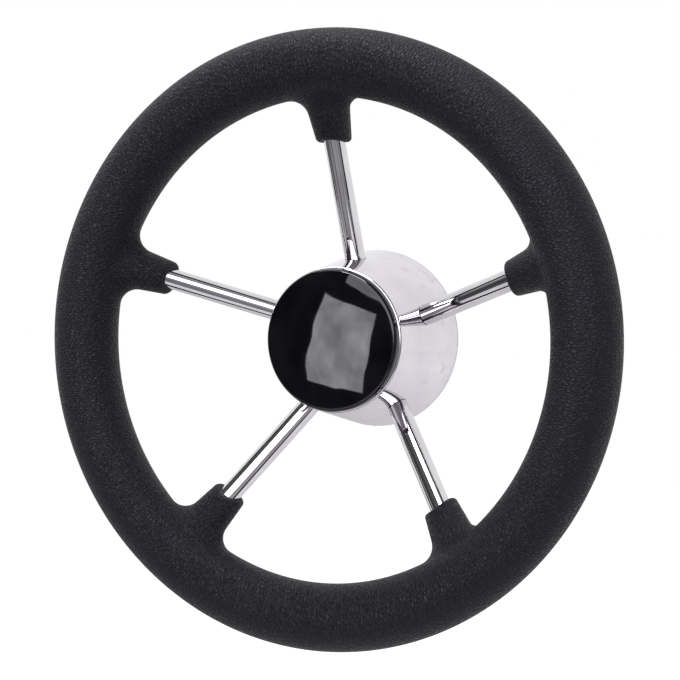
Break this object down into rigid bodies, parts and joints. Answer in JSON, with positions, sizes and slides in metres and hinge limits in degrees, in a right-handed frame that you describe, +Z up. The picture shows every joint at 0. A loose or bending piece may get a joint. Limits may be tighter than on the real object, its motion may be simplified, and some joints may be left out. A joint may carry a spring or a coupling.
{
  "type": "boat steering wheel",
  "caption": "Round boat steering wheel: straight steel spokes, foam grip, polished cone hub and domed cap.",
  "frame": {"origin": "centre of the boss's rear face, where the taper bore opens for the helm shaft", "axes": "Y is the wheel's axis with the front, the cap's side, towards -Y; +Z is up along the top spoke"},
  "size_m": [0.343, 0.097, 0.343],
  "materials": {
    "foam": "matte, fine leather grain",
    "steel": "polished",
    "polished_steel": "mirror polished",
    "fastener_steel": "bright machined",
    "cap_plastic": "high gloss",
    "seal_rubber": "matte"
  },
  "bodies": {
    "root": {"grip": "foam", "rim_ring": "steel", "spoke_1": "steel", "spoke_2": "steel", "spoke_3": "steel", "spoke_4": "steel", "spoke_5": "steel", "hub_weld_1": "steel", "hub_weld_2": "steel", "hub_weld_3": "steel", "hub_weld_4": "steel", "hub_weld_5": "steel", "hub_boss": "steel", "hub_shell": "polished_steel", "centre_cap": "cap_plastic", "cap_o_ring": "seal_rubber", "flat_washer": "fastener_steel", "lock_washer": "fastener_steel", "shaft_nut": "fastener_steel"}
  },
  "joints": []
}
